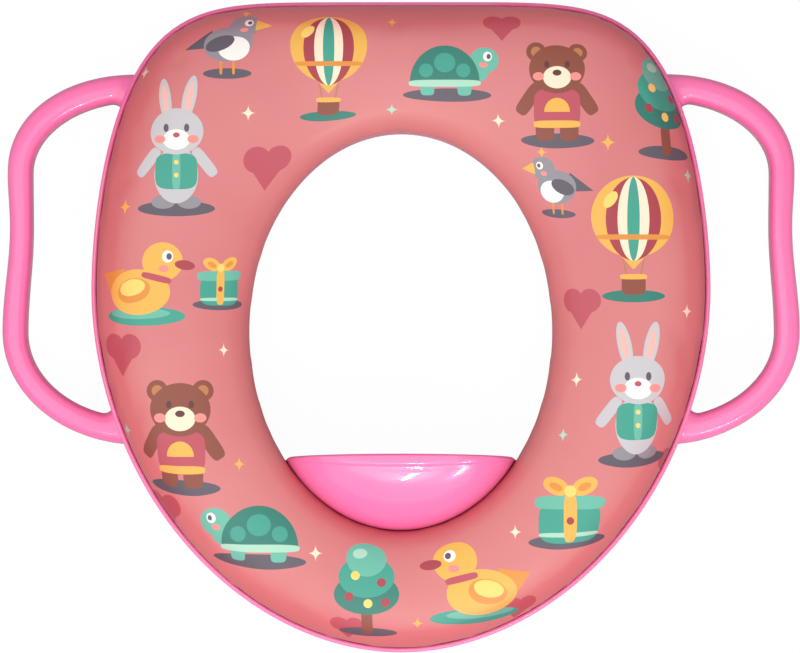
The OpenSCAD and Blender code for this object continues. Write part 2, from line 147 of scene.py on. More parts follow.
# Mesh helpers
def swept_ring(bm, profile, steps, inner_in=0.0):
    """Spins a closed profile of (share, draw-in, height) and lays each section on the ring's edges."""
    share = bm.verts.layers.float.new("share")
    draw = bm.verts.layers.float.new("draw")
    height = bm.verts.layers.float.new("height")
    verts = []
    for k, (part, inset, z) in enumerate(profile):
        vert = bm.verts.new((100 + part, 0, z + k * 0.001))
        vert[share], vert[draw], vert[height] = part, inset, z
        verts.append(vert)
    edges = [bm.edges.new((verts[k], verts[(k + 1) % len(verts)])) for k in range(len(verts))]
    bmesh.ops.spin(bm, geom=verts + edges, cent=(0, 0, 0), axis=(0, 0, 1), angle=math.tau,
                   steps=steps, use_merge=True)
    turn = math.tau / steps
    for vert in bm.verts:
        angle = round(math.atan2(vert.co.y, vert.co.x) / turn) % steps * turn
        point = ring_point(angle, vert[share], vert[draw] + inner_in, vert[draw])
        vert.co = (point.x, point.y, vert[height])
    bmesh.ops.recalc_face_normals(bm, faces=bm.faces)


def lofted(bm, loops):
    """Extrudes a closed loop of points along a row of like loops, with both ends filled."""
    spot = bm.verts.layers.int.get("spot") or bm.verts.layers.int.new("spot")
    ring = bmesh.ops.create_circle(bm, segments=len(loops[0]))["verts"]
    for k, vert in enumerate(ring):
        vert[spot] = k
        vert.co = loops[0][k]
    start = list({edge for vert in ring for edge in vert.link_edges})
    edges = start
    for loop in loops[1:]:
        made = bmesh.ops.extrude_edge_only(bm, edges=edges)["geom"]
        moved = {g for g in made if isinstance(g, bmesh.types.BMVert)}
        for vert in moved:
            vert.co = loop[vert[spot]]
        edges = [g for g in made if isinstance(g, bmesh.types.BMEdge)
                 and g.verts[0] in moved and g.verts[1] in moved]
    bmesh.ops.holes_fill(bm, edges=start + edges)


def finished(bm, name, sharp_deg=35):
    """Turns a bmesh in millimetres into an object in metres, smooth but for its sharp edges."""
    bmesh.ops.scale(bm, vec=(MM, MM, MM), verts=bm.verts)
    bmesh.ops.recalc_face_normals(bm, faces=bm.faces)
    mesh = bpy.data.meshes.new(name)
    bm.to_mesh(mesh)
    bm.free()
    mesh.shade_smooth()
    mesh.set_sharp_from_angle(angle=math.radians(sharp_deg))
    obj = bpy.data.objects.new(name, mesh)
    scene.collection.objects.link(obj)
    return obj


# Camera, nearly overhead and a little to the front and the right
CAMERA_FAR = 2.4
TILT_RIGHT, TILT_FRONT = math.radians(0.4), math.radians(2.8)
VIEW_W = 0.3811
AIM = Vector((-0.0004, 0.0, 0.032))
camera_data = bpy.data.cameras.new("camera")
camera = bpy.data.objects.new("camera", camera_data)
scene.collection.objects.link(camera)
scene.camera = camera
back = Vector((math.tan(TILT_RIGHT), -math.tan(TILT_FRONT), 1)).normalized()
up = (Vector((0, 1, 0)) - back * back.y).normalized()
right = up.cross(back)
facing = Matrix((right, up, back)).transposed().to_4x4()
camera.matrix_world = Matrix.Translation(AIM + back * CAMERA_FAR) @ facing
camera_data.sensor_width = 36
camera_data.lens = 36 * CAMERA_FAR / VIEW_W
camera_data.clip_end = 20


# Tray, skirt and rim
LIP_STEPS = 10
RING_STEPS = 240


# Rounded corners as steps of draw-in and height: foot of the skirt, root of the rim, the floor's inner edge
# above and below, and root and foot of the skirt's inner side
SKIRT_FOOT = [(0.6, 0), (0.15, 0.25), (-0.05, 0.9)]
RIM_ROOT = [(0.25, 1.4), (0.5, 0.5), (1.4, 0)]
FLOOR_EDGE_TOP = [(1.2, 0), (0.25, -0.3), (0, -1)]
FLOOR_EDGE_LOW = [(0, 0.5), (0.6, 0)]
WALL_ROOT = [(1.2, 0), (0.3, -0.3), (0, -1.2)]
WALL_FOOT = [(0, 0.6), (-0.5, 0)]
# Where the skirt has its middle station, how far below the rim its last one lies, and that one's draw-in
SKIRT_MID, RIM_BELOW, RIM_BELOW_IN = 0.45, 3.2, 0.05
# How far the floor stands over the collar's face, how far the collar reaches into it, and the collar's edges
FLOOR_OVER, COLLAR_ROOT = 0.4, 1.2
COLLAR_R, COLLAR_EDGE = 0.6, 0.2


def rounding(share, draw, z, steps):
    return [(share, draw + inset, z + rise) for inset, rise in steps]


def tray_profile():
    """Up the skirt, over the rounded rim, in along the floor and back below it."""
    lip = RIM_W / 2
    wall = SKIRT_DRAFT + SKIRT_T
    floor_z = TRAY_Z - FLOOR_T
    edge = COLLAR_BACK - FLOOR_OVER
    round_lip = []
    for k in range(LIP_STEPS + 1):
        a = math.pi * k / LIP_STEPS
        round_lip.append((1, lip - lip * math.cos(a), RIM_Z - lip + lip * math.sin(a)))
    return (
        rounding(1, SKIRT_DRAFT, SKIRT_Z, SKIRT_FOOT)
        + [(1, SKIRT_DRAFT * SKIRT_MID, mix(SKIRT_Z, RIM_Z, SKIRT_MID)), (1, RIM_BELOW_IN, RIM_Z - RIM_BELOW)]
        + round_lip
        + rounding(1, RIM_W, TRAY_Z, RIM_ROOT)
        + [(0.5, 0, TRAY_Z)]
        + rounding(0, edge, TRAY_Z, FLOOR_EDGE_TOP)
        + rounding(0, edge, floor_z, FLOOR_EDGE_LOW)
        + [(0.5, 0, floor_z)]
        + rounding(1, wall, floor_z, WALL_ROOT)
        + rounding(1, wall, SKIRT_Z, WALL_FOOT)
    )


def collar_profile():
    """Wall that drops into the toilet seat, with its lower edges rounded."""
    top, low = TRAY_Z - COLLAR_ROOT, base_low.z
    inner, outer = COLLAR_BACK, COLLAR_BACK + COLLAR_T
    return [(0, inner, top), (0, inner, low + COLLAR_R), (0, inner + COLLAR_EDGE, low + COLLAR_EDGE),
            (0, inner + COLLAR_R, low), (0, outer - COLLAR_R, low),
            (0, outer - COLLAR_EDGE, low + COLLAR_EDGE), (0, outer, low + COLLAR_R), (0, outer, top)]


# Handles, from the same curves as the construction
GRIP_T, WAIST_T, WAIST_IN, UPPER_IN = 11.9, 11.0, 3.4, 2.2
HANDLE_H, HANDLE_RISE = 15.0, 4.0
ARM_BACK_Y, ARM_FRONT_Y, ARM_T, ROOT_R = 121.0, 56.0, 12.8, 6.5
BEND_IN, BEND_BACK_Y, BEND_FRONT_Y, WAIST_Y = 22.0, 74.0, -2.5, 47.0
ROOT_IN = SKIRT_DRAFT + SKIRT_T / 2
ARC_STEPS, GRIP_STEPS = 34, 26
CROWDING = 1.35
# How round the bends are, where 2 is an oval: the outer line's rear bend, and all others
REAR_BEND, BEND = 2.12, 2
TOP_POWER, TOP_STEPS = 0.7, 20
FOOT_R, FOOT_TURNS = 1.6, (0, 30, 60, 90)
HANDLE_WALL, CHANNEL_H = 2.8, 9.5
CHANNEL_START, CHANNEL_RAMP = 4.0, 10.0
# Rounded edge of the channel, draw-in of its floor, and its depth where it ends
CHANNEL_EDGE, CHANNEL_IN, CHANNEL_LEAST = 0.3, 0.5, 0.02
# Height of the handle's underside over the skirt's foot, and the swelling of its top at the ends
HANDLE_UP = 0.4
SWELL_START, SWELL_R, SWELL_SHARE = 0.6, 5.0, 0.22


def handle_curve(x_top, x_waist, x_low, y_back, y_front, back_bend, front_bend):
    """Points of one side of the handle from the rear root to the front root."""
    centre = RING_W / 2 - BEND_IN

    def bend_point(t, x_far, y_far, y_bend, bend):
        first = math.acos(max(0, min(1, (edge_half(y_far, RING) - ROOT_IN - centre) / (x_far - centre))))
        a = first * (1 - t)
        return Vector((centre + (x_far - centre) * math.cos(a) ** (2 / bend),
                       y_bend + (y_far - y_bend) * math.sin(a) ** (2 / bend), 0))

    points = [bend_point((k / ARC_STEPS) ** CROWDING, x_top, y_back, BEND_BACK_Y, back_bend)
              for k in range(ARC_STEPS + 1)]
    for k in range(1, GRIP_STEPS):
        y = mix(BEND_BACK_Y, BEND_FRONT_Y, k / GRIP_STEPS)
        if y > WAIST_Y:
            x = mix(x_top, x_waist, ease((BEND_BACK_Y - y) / (BEND_BACK_Y - WAIST_Y)))
        else:
            x = mix(x_waist, x_low, ease((WAIST_Y - y) / (WAIST_Y - BEND_FRONT_Y)))
        points.append(Vector((x, y, 0)))
    points += [bend_point(((ARC_STEPS - k) / ARC_STEPS) ** CROWDING, x_low, y_front, BEND_FRONT_Y, front_bend)
               for k in range(ARC_STEPS + 1)]
    return points


def fillet(distance, radius):
    """Height of a quarter round at a distance from its foot."""
    if distance >= radius:
        return 0.0
    if distance <= 0:
        return radius
    return radius - math.sqrt(radius ** 2 - (radius - distance) ** 2)


def in_rim(point):
    """Above the tray's floor a point of the handle's end is moved out to the middle of the rim."""
    edge, out = on_edge(math.atan2(point.y, point.x), RING)
    deep = (edge - Vector((point.x, point.y, 0))).dot(out) - RIM_W / 2
    return point + out * deep if deep > 0 and point.z > TRAY_Z else point


def handle_section(width, deep, tall):
    """Closed section: a rounded top, straight sides with round feet, and a channel below."""
    c, low = width / 2 - HANDLE_WALL, -HANDLE_H / 2
    arc = []
    for k in range(TOP_STEPS + 1):
        a = math.pi * k / TOP_STEPS
        arc.append((width / 2 * power(math.cos(a), TOP_POWER),
                    (HANDLE_H / 2 + tall) * power(math.sin(a), TOP_POWER)))
    foot = [(width / 2 - FOOT_R * (1 - math.cos(a)), low + FOOT_R * (1 - math.sin(a))) for a in
            (math.radians(d) for d in FOOT_TURNS)]
    left_foot = [(-x, z) for x, z in foot]
    edge_z = low + min(CHANNEL_EDGE, deep)
    floor = [(-c - CHANNEL_EDGE, low), (-c, edge_z), (-c + CHANNEL_IN, low + deep),
             (c - CHANNEL_IN, low + deep), (c, edge_z), (c + CHANNEL_EDGE, low)]
    return arc + left_foot + floor + foot[::-1]


def handle_loops():
    """Sections of the right handle from its rear root to its front root."""
    reach = SPAN_W / 2
    outer = handle_curve(reach - UPPER_IN, reach - WAIST_IN, reach, ARM_BACK_Y, -ARM_FRONT_Y, REAR_BEND, BEND)
    inner = handle_curve(reach - UPPER_IN - GRIP_T, reach - WAIST_IN - WAIST_T, reach - GRIP_T,
                         ARM_BACK_Y - ARM_T, -ARM_FRONT_Y + ARM_T, BEND, BEND)
    last = len(outer) - 1
    shaped = []
    for k, point in enumerate(inner):
        back_fillet = fillet((point - inner[0]).length - ROOT_IN, ROOT_R)
        front_fillet = fillet((point - inner[last]).length - ROOT_IN, ROOT_R)
        shaped.append(point + Vector((0, front_fillet - back_fillet, 0)))
    ends = [(outer[k] + shaped[k]) / 2 for k in (0, last)]
    root_z = SKIRT_Z + HANDLE_UP + HANDLE_H / 2
    loops = []
    for k in range(last + 1):
        mid, across = (outer[k] + shaped[k]) / 2, outer[k] - shaped[k]
        width = across.length
        across.normalize()
        z = root_z + HANDLE_RISE * math.sin(math.pi * k / last)
        run = min((mid - end).length for end in ends)
        deep = max(CHANNEL_LEAST, CHANNEL_H * ease((run - CHANNEL_START) / CHANNEL_RAMP))
        tall = fillet(run - ROOT_IN * SWELL_START, SWELL_R) * SWELL_SHARE
        loop = [mid + across * x + Vector((0, 0, z + h)) for x, h in handle_section(width, deep, tall)]
        loops.append([in_rim(point) for point in loop] if run < 2 * ARM_T else loop)
    return loops


# Splash guard: it stands up beside the cushion, curls back over the opening and ends in a raised lip
GUARD_STEPS, CURVE_STEPS = 72, 26
GUARD_LEAN, GUARD_BOW, GUARD_T, GUARD_CURL = 35.0, 1.2, 2.4, math.radians(78)
GUARD_CLEAR, GUARD_STEP_H = 0.25, 6.0
GUARD_ROOT, GUARD_ROOT_Z = COLLAR_BACK + COLLAR_T * 0.6, TRAY_Z - 4
# Shares of the levels and of the height that go to the upright foot
STAND_LEVELS, STAND_SHARE = 0.25, 0.28
# How square the free edge is, seen from the front, and how the curl gains height
GUARD_LEVEL, GUARD_FLAT = 6, 0.75
GUARD_LIP_W, GUARD_LIP_H = 2.6, 0.5
LIP_LEVEL = 1 - GUARD_LIP_W / (GUARD_LEAN + GUARD_Z - CROWN_Z)
# Levels up the guard, each with its lift off the face
GUARD_LEVELS = [(f * STAND_LEVELS, 0) for f in (0, 0.1, 0.2, 0.3, 0.45, 0.6, 0.8)]
GUARD_LEVELS += [(mix(STAND_LEVELS, LIP_LEVEL - 0.02, (k / CURVE_STEPS) ** 0.9), 0)
                 for k in range(CURVE_STEPS + 1)]
GUARD_LEVELS += [(LIP_LEVEL - 0.012, 0.06), (LIP_LEVEL - 0.006, 0.28), (LIP_LEVEL, 0.44)]
GUARD_LEVELS += [(LIP_LEVEL + 0.008, GUARD_LIP_H), (mix(LIP_LEVEL, 1, 0.6), GUARD_LIP_H), (1, GUARD_LIP_H)]
# Share of the levels that a face's slope is taken over, and the free edge's round
FACE_STEP = 0.02
FREE_EDGE_TURNS, FREE_EDGE_OUT = (22, 45, 67, 90, 113, 135, 158), 0.4


def guard_loops():
    """Sections of the guard from its left end to its right end."""
    half, length = OPENING_W / 2 - GUARD_CLEAR, OPENING_L / 2 - GUARD_CLEAR
    line = (half, length, length, -OPENING_FRONT, 2, 2, 2)
    free_y = -OPENING_FRONT - OPENING_L / 2 + GUARD_LEAN
    end = math.asin(edge_half(free_y - GUARD_BOW, line) / half)
    loops = []
    for k in range(GUARD_STEPS + 1):
        a = end * math.sin(math.pi / 2 * (2 * k / GUARD_STEPS - 1))
        foot = Vector((half * math.sin(a), -OPENING_FRONT - length * math.cos(a), 0))
        out = Vector((math.sin(a) / half, -math.cos(a) / length, 0)).normalized()
        across = foot.x / (half * math.sin(end))
        lean = max(0.0, free_y - GUARD_BOW * across ** 2 - foot.y)
        top = mix(TRAY_Z, GUARD_Z - GUARD_LIP_H, math.sqrt(max(0.0, 1 - abs(across) ** GUARD_LEVEL)))
        bend_z = mix(GUARD_ROOT_Z, top, STAND_SHARE)

        def place(f):
            t = GUARD_CURL * max(0.0, (f - STAND_LEVELS) / (1 - STAND_LEVELS))
            z = mix(bend_z, top, (math.sin(t) / math.sin(GUARD_CURL)) ** GUARD_FLAT) if f > STAND_LEVELS \
                else mix(GUARD_ROOT_Z, bend_z, f / STAND_LEVELS)
            g = min(1.0, (z - GUARD_ROOT_Z) / GUARD_STEP_H)
            step = (GUARD_ROOT + GUARD_CLEAR) * (1 - g) ** 2
            return step, lean * (1 - math.cos(t)) / (1 - math.cos(GUARD_CURL)), z

        def face(f, off):
            low, high, at = place(max(0, f - FACE_STEP)), place(min(1, f + FACE_STEP)), place(f)
            run, rise = high[1] - low[1], high[2] - low[2]
            size = max(0.001, math.hypot(run, rise))
            return foot + out * (at[0] + off * rise / size) + Vector((0, at[1], at[2] + off * run / size))

        outer = [face(f, lift) for f, lift in GUARD_LEVELS]
        inner = [face(f, -GUARD_T) for f, lift in GUARD_LEVELS]
        along = (outer[-1] - outer[-2]).normalized()
        rounded = []
        for d in FREE_EDGE_TURNS:
            t = math.radians(d)
            over = along * GUARD_T * FREE_EDGE_OUT * math.sin(t)
            rounded.append(mix(outer[-1], inner[-1], (1 - math.cos(t)) / 2) + over)
        loops.append(outer + rounded + inner[::-1])
    return loops


# Underside of the base: ribs, screw bosses and pad pockets
SCREW_ANGLES = [math.radians(d) for d in (22, 90, 158, 205, 270, 335)]
PAD_ANGLES = [math.radians(d) for d in (-50, -130, 50, 130)]
RIB_COUNT, RIB_T, RIB_DEPTH = 20, 1.8, 5.0
BOSS_D, BOSS_Z, BORE_R = 11.0, SKIRT_Z + 2, 2.3
# Fillet at a boss's root, and the rounding of its rim and of its bore's mouth
BOSS_FILLET, BOSS_RIM, BORE_RIM = 1.0, 0.4, 0.3
PAD_L, PAD_W, PAD_T, POCKET_T, FIT = 36.0, 12.0, 6.0, 1.8, 0.25
POCKET_UP = 0.5
# How far walls reach into the tray's floor, and the rounding of the blocks' edges
SINK, BLOCK_R = 1.2, 0.3


def middle(angle):
    """Matrix at the ring's middle line, turned along it."""
    def point(a):
        return (on_edge(a, RING)[0] + on_edge(a, OPENING)[0]) / 2
    along = point(angle + 0.02) - point(angle - 0.02)
    return Matrix.Translation(point(angle)) @ Matrix.Rotation(math.atan2(along.y, along.x), 4, "Z")


def block(bm, size, place):
    """Box of a size with its middle at a matrix, and its edges taken off."""
    made = bmesh.ops.create_cube(bm, size=1)["verts"]
    bmesh.ops.scale(bm, vec=size, verts=made)
    bmesh.ops.transform(bm, matrix=place, verts=made)
    edges = list({edge for vert in made for edge in vert.link_edges})
    bmesh.ops.bevel(bm, geom=edges, offset=BLOCK_R, segments=2, profile=0.5, affect="EDGES", material=-1)


def bar_loop(length, width, z, steps=14):
    """Outline of a round-ended bar at a height."""
    points = []
    for side in (1, -1):
        for k in range(steps + 1):
            a = -math.pi / 2 + math.pi * k / steps
            x, y = (length - width) / 2 + width / 2 * math.cos(a), width / 2 * math.sin(a)
            points.append(Vector((side * x, side * y, z)))
    return points


def placed(loops, matrix):
    return [[matrix @ point for point in loop] for loop in loops]


def rib(bm, angle, floor_z):
    """Rib between the collar and the skirt."""
    a = ring_point(angle, 0, 0, COLLAR_BACK + COLLAR_T / 2)
    b = ring_point(angle, 1, SKIRT_DRAFT + SKIRT_T / 2, 0)
    turn = Matrix.Rotation(math.atan2(b.y - a.y, b.x - a.x), 4, "Z")
    z = floor_z + (SINK - RIB_DEPTH) / 2
    place = Matrix.Translation((a + b) / 2 + Vector((0, 0, z))) @ turn
    block(bm, ((b - a).length, RIB_T, RIB_DEPTH + SINK), place)


def boss(bm, angle, floor_z):
    """Tube that a screw passes through."""
    r = BOSS_D / 2
    shape = [(BORE_R, floor_z + SINK), (r + BOSS_FILLET, floor_z), (r, floor_z - BOSS_FILLET),
             (r, BOSS_Z + BOSS_RIM), (r - BOSS_RIM, BOSS_Z), (BORE_R + BORE_RIM, BOSS_Z),
             (BORE_R, BOSS_Z + BORE_RIM)]
    verts = [bm.verts.new((x, 0, z)) for x, z in shape]
    edges = [bm.edges.new((verts[k], verts[(k + 1) % len(verts)])) for k in range(len(verts))]
    before = set(bm.verts) - set(verts)
    bmesh.ops.spin(bm, geom=verts + edges, cent=(0, 0, 0), axis=(0, 0, 1), angle=math.tau, steps=40,
                   use_merge=True)
    bmesh.ops.transform(bm, matrix=middle(angle), verts=[v for v in bm.verts if v not in before])


def pocket(bm, angle, floor_z):
    """Wall around a grip pad, with a rib along it and two across it."""
    low, top = SKIRT_Z + POCKET_UP, floor_z + SINK
    wide, snug = 2 * (FIT + POCKET_T), 2 * FIT
    rings = [bar_loop(PAD_L + snug, PAD_W + snug, top), bar_loop(PAD_L + snug, PAD_W + snug, low),
             bar_loop(PAD_L + wide, PAD_W + wide, low), bar_loop(PAD_L + wide, PAD_W + wide, top)]
    lofted(bm, placed(rings, middle(angle)))
    rib_h = top - PAD_Z - PAD_T
    z = PAD_Z + PAD_T + rib_h / 2
    block(bm, (PAD_L + snug, RIB_T, rib_h), middle(angle) @ Matrix.Translation((0, 0, z)))
    for side in (-1, 1):
        place = middle(angle) @ Matrix.Translation((side * PAD_L / 4, 0, z))
        block(bm, (RIB_T, PAD_W + snug, rib_h), place)


def underside(bm):
    floor_z = TRAY_Z - FLOOR_T
    for k in range(RIB_COUNT):
        rib(bm, math.tau * (k + 0.5) / RIB_COUNT, floor_z)
    for angle in SCREW_ANGLES:
        boss(bm, angle, floor_z)
    for angle in PAD_ANGLES:
        pocket(bm, angle, floor_z)


def joined(name, builders, sharp_deg=35):
    """One object from several bmesh builders, each made by itself so that its normals come out right."""
    whole = bmesh.new()
    for build in builders:
        bm = bmesh.new()
        build(bm)
        bmesh.ops.recalc_face_normals(bm, faces=bm.faces)
        part = bpy.data.meshes.new("part")
        bm.to_mesh(part)
        bm.free()
        whole.from_mesh(part)
        bpy.data.meshes.remove(part)
    return finished(whole, name, sharp_deg)


def right_handle(bm):
    lofted(bm, handle_loops())


def left_handle(bm):
    lofted(bm, handle_loops())
    bmesh.ops.mirror(bm, geom=bm.verts[:] + bm.edges[:] + bm.faces[:], axis="X", merge_dist=-1)
    bmesh.ops.delete(bm, geom=[v for v in bm.verts if v.co.x > 0], context="VERTS")


base = joined("base_moulding", [
    lambda bm: swept_ring(bm, tray_profile(), RING_STEPS),
    lambda bm: swept_ring(bm, collar_profile(), RING_STEPS),
    right_handle, left_handle,
    lambda bm: lofted(bm, guard_loops()),
    underside,
])
# Share of each point in the rim's rounded top for its painted highlight, a paler pink where the rim catches
# the light:
# it starts below the top and rises over a height, within a slack outside and inside the rim, and not on the
# handles
HIGHLIGHT_BELOW, HIGHLIGHT_RISE = 3, 2
RIM_OUT, RIM_IN, RIM_FAR = 0.2, 0.4, 5
rim_highlight_share = base.data.attributes.new("rim", "FLOAT", "POINT")
for v in base.data.vertices:
    x, y, z = v.co / MM
    if z > RIM_Z - HIGHLIGHT_BELOW and math.hypot(x, y) < RING_L / 2 + RIM_FAR:
        edge, out = on_edge(math.atan2(y, x), RING)
        deep = (edge - Vector((x, y, 0))).dot(out)
        if -RIM_OUT < deep < RIM_W + RIM_IN:
            rim_highlight_share.data[v.index].value = ease((z - RIM_Z + HIGHLIGHT_BELOW) / HIGHLIGHT_RISE)
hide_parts("seat_base")
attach(base, "root")

# Cushion: a closed form, blown up by a cloth simulation that may move it only a little
CUSHION_WAIST, CUSHION_TUCK, CROWN_SQUARE, CROWN_RISE = 12.5, 7.5, 2.9, 0.95
CROWN_STEPS, TUCK_STEPS = 22, 8
# Growth of the outer edge, draw-in of the inner edge and drop of the crown before the cloth is blown up
START_OUT, START_IN, START_DOWN = 0.7, -0.1, 0.3
VOXEL, PRESSURE = 0.0042, 4.0
# Height of the held edge, and the most that a point may move sideways and up or down
HELD_H, CAP_SIDE, CAP_UP = 3, 0.5, 1.0
PLUMP = 0.55
CLOTH_FRAMES = 20


def cushion_profile(outer, inset, down):
    """Outer edge up over the crown to the inner edge, and back along the tray."""
    waist = TRAY_Z + CUSHION_WAIST
    high = CROWN_Z - waist - down
    points = []
    for k in range(TUCK_STEPS, 0, -1):
        a = math.pi / 2 * k / TUCK_STEPS
        tuck = CUSHION_TUCK * (1 - math.cos(a))
        points.append((1, tuck - outer * math.cos(a), waist - CUSHION_WAIST * math.sin(a)))
    for k in range(CROWN_STEPS + 1):
        a = math.pi * k / CROWN_STEPS
        share = 0.5 + 0.5 * power(math.cos(a), 2 / CROWN_SQUARE)
        points.append((share, mix(inset, -outer, share), waist + high * math.sin(a) ** CROWN_RISE))
    for k in range(1, TUCK_STEPS + 1):
        a = math.pi / 2 * k / TUCK_STEPS
        tuck = CUSHION_TUCK * (1 - math.cos(a))
        points.append((0, inset + tuck, waist - CUSHION_WAIST * math.sin(a)))
    return points


def inflated(obj):
    """Cloth under pressure, then held to within a cap of where each point began."""
    mesh = obj.data
    begin = [v.co.copy() for v in mesh.vertices]
    group = obj.vertex_groups.new(name="held")
    held_z = (TRAY_Z + HELD_H) * MM
    group.add([v.index for v in mesh.vertices if v.co.z < held_z], 1.0, "REPLACE")
    cloth = obj.modifiers.new("cloth", "CLOTH")
    settings = cloth.settings
    settings.use_pressure = True
    settings.uniform_pressure_force = PRESSURE
    settings.vertex_group_mass = "held"
    settings.quality = 6
    settings.mass = 0.3
    settings.tension_stiffness = 12
    settings.compression_stiffness = 12
    settings.bending_stiffness = 1.2
    settings.effector_weights.gravity = 0
    cloth.point_cache.frame_start = 1
    cloth.point_cache.frame_end = CLOTH_FRAMES
    for f in range(1, CLOTH_FRAMES + 1):
        scene.frame_set(f)
    solved = obj.evaluated_get(bpy.context.evaluated_depsgraph_get()).to_mesh()
    end = [v.co.copy() for v in solved.vertices]
    obj.evaluated_get(bpy.context.evaluated_depsgraph_get()).to_mesh_clear()
    obj.modifiers.remove(cloth)
    obj.vertex_groups.remove(group)
    scene.frame_set(1)
    for v, a, b in zip(mesh.vertices, begin, end):
        move = b - a
        aside = Vector((move.x, move.y, 0))
        if aside.length > CAP_SIDE * MM:
            aside = aside.normalized() * CAP_SIDE * MM
        lift = max(-CAP_UP * MM, min(CAP_UP * MM, move.z))
        v.co = a + aside + Vector((0, 0, lift))


def applied(obj):
    """Replaces the mesh with what its modifiers make of it."""
    graph = bpy.context.evaluated_depsgraph_get()
    graph.update()
    made = bpy.data.meshes.new_from_object(obj.evaluated_get(graph), preserve_all_data_layers=True,
                                           depsgraph=graph)
    obj.modifiers.clear()
    old = obj.data
    obj.data = made
    made.name = obj.name
    bpy.data.meshes.remove(old)


bm = bmesh.new()
swept_ring(bm, cushion_profile(START_OUT, START_IN, START_DOWN), RING_STEPS, CUSHION_IN)
cushion = finished(bm, "cushion", 180)
remesh = cushion.modifiers.new("remesh", "REMESH")
remesh.mode = "VOXEL"
remesh.voxel_size = VOXEL
applied(cushion)
inflated(cushion)
relaxed = cushion.modifiers.new("relax", "SMOOTH")
relaxed.factor = 0.5
relaxed.iterations = 2
rounded = cushion.modifiers.new("round", "SUBSURF")
rounded.levels = rounded.render_levels = 1
applied(cushion)
normals = [v.normal.copy() for v in cushion.data.vertices]
for v, out in zip(cushion.data.vertices, normals):
    v.co += out * PLUMP * MM
cushion.data.shade_smooth()

# Print coordinates in millimetres: the plan, let out over the sides by how far the surface has dropped
LET_OUT = 0.8
# Directions round the ring that are told apart, and how soon the lean away from the crown counts in full
PRINT_TURNS, LEAN_GAIN = 720, 1.5


def print_place(co):
    x, y, z = co.x / MM, co.y / MM, co.z / MM
    angle = math.atan2(y, x)
    turn = math.tau / PRINT_TURNS
    near = round(angle / turn) % PRINT_TURNS * turn
    outer, outer_out = on_edge(near, RING)
    inner, inner_out = on_edge(near, OPENING)
    r = math.hypot(x, y)
    mid = (outer.length + inner.length) / 2
    half = (outer.length - inner.length) / 2
    lean = max(-1.0, min(1.0, (r - mid) / half))
    drop = max(0.0, CROWN_Z - z)
    out = outer_out if lean > 0 else -inner_out
    let = drop * LET_OUT * min(1.0, abs(lean) * LEAN_GAIN)
    return x + out.x * let, y + out.y * let


# How far each point is turned down from the crown, for the painted shade that darkens the vinyl on its sides
TURN_FULL, TURN_INNER = 0.15, 0.25
turned = cushion.data.attributes.new("turned", "FLOAT", "POINT")
for v in cushion.data.vertices:
    angle = math.atan2(v.co.y, v.co.x)
    reach = on_edge(angle, RING)[0].length + on_edge(angle, OPENING)[0].length
    outer_side = math.hypot(v.co.x, v.co.y) / MM > reach / 2
    away = ease((1 - max(0.0, v.normal.z)) / TURN_FULL)
    turned.data[v.index].value = away * (1.0 if outer_side else TURN_INNER)
layer = cushion.data.uv_layers.new(name="print")
places = [print_place(v.co) for v in cushion.data.vertices]
for corner in cushion.data.loops:
    layer.data[corner.index].uv = places[corner.vertex_index]
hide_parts("cushion_cover")
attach(cushion, "root")


# Materials
class Nodes:
    """Short calls for building shader nodes in one tree."""

    def __init__(self, tree):
        self.tree = tree

    def add(self, kind, inputs=None, **settings):
        node = self.tree.nodes.new(kind)
        for key, value in settings.items():
            setattr(node, key, value)
        for key, value in (inputs or {}).items():
            self.put(value, node.inputs[key])
        return node

    def put(self, value, socket):
        if isinstance(value, bpy.types.NodeSocket):
            self.tree.links.new(value, socket)
        else:
            socket.default_value = value

    def math(self, operation, a, b=0.0, third=0.0):
        return self.add("ShaderNodeMath", {0: a, 1: b, 2: third}, operation=operation).outputs[0]

    def vector(self, operation, a, b=(0, 0, 0), c=(0, 0, 0)):
        return self.add("ShaderNodeVectorMath", {0: a, 1: b, 2: c}, operation=operation).outputs[0]

    def within(self, place, x, y, half_w, half_h, turn_deg=0):
        """Place from the middle of a box, measured in its half sizes."""
        if turn_deg:
            return self.add("ShaderNodeMapping", {0: place, 1: (x, y, 0), 2: (0, 0, math.radians(turn_deg)),
                                                  3: (half_w, half_h, 1)}, vector_type="TEXTURE").outputs[0]
        return self.vector("MULTIPLY_ADD", place, (1 / half_w, 1 / half_h, 0), (-x / half_w, -y / half_h, 0))

    def blend(self, mask, a, b, mode="MIX"):
        node = self.add("ShaderNodeMix", data_type="RGBA", blend_type=mode)
        self.put(mask, node.inputs[0])
        self.put(a, node.inputs[6])
        self.put(b, node.inputs[7])
        return node.outputs[2]

    def ramp(self, value, low, high):
        """From 0 at the low value to 1 at the high one."""
        return self.add("ShaderNodeMapRange", {0: value, 1: low, 2: high, 3: 0.0, 4: 1.0}).outputs[0]

    def length(self, place):
        return self.add("ShaderNodeVectorMath", {0: place}, operation="LENGTH").outputs[1]

    def less(self, a, b):
        return self.math("LESS_THAN", a, b)

    def noise(self, place, scale, detail):
        return self.add("ShaderNodeTexNoise", {"Vector": place, "Scale": scale, "Detail": detail}).outputs[0]

    def relief(self, height, strength, distance, shader):
        bump = self.add("ShaderNodeBump", {"Strength": strength, "Distance": distance, "Height": height})
        self.put(bump.outputs[0], shader.inputs["Normal"])


def srgb(code):
    """Linear colour from a written one such as e58084."""
    parts = [int(code[k:k + 2], 16) / 255 for k in (0, 2, 4)]
    return tuple(c / 12.92 if c <= 0.04045 else ((c + 0.055) / 1.055) ** 2.4 for c in parts) + (1.0,)


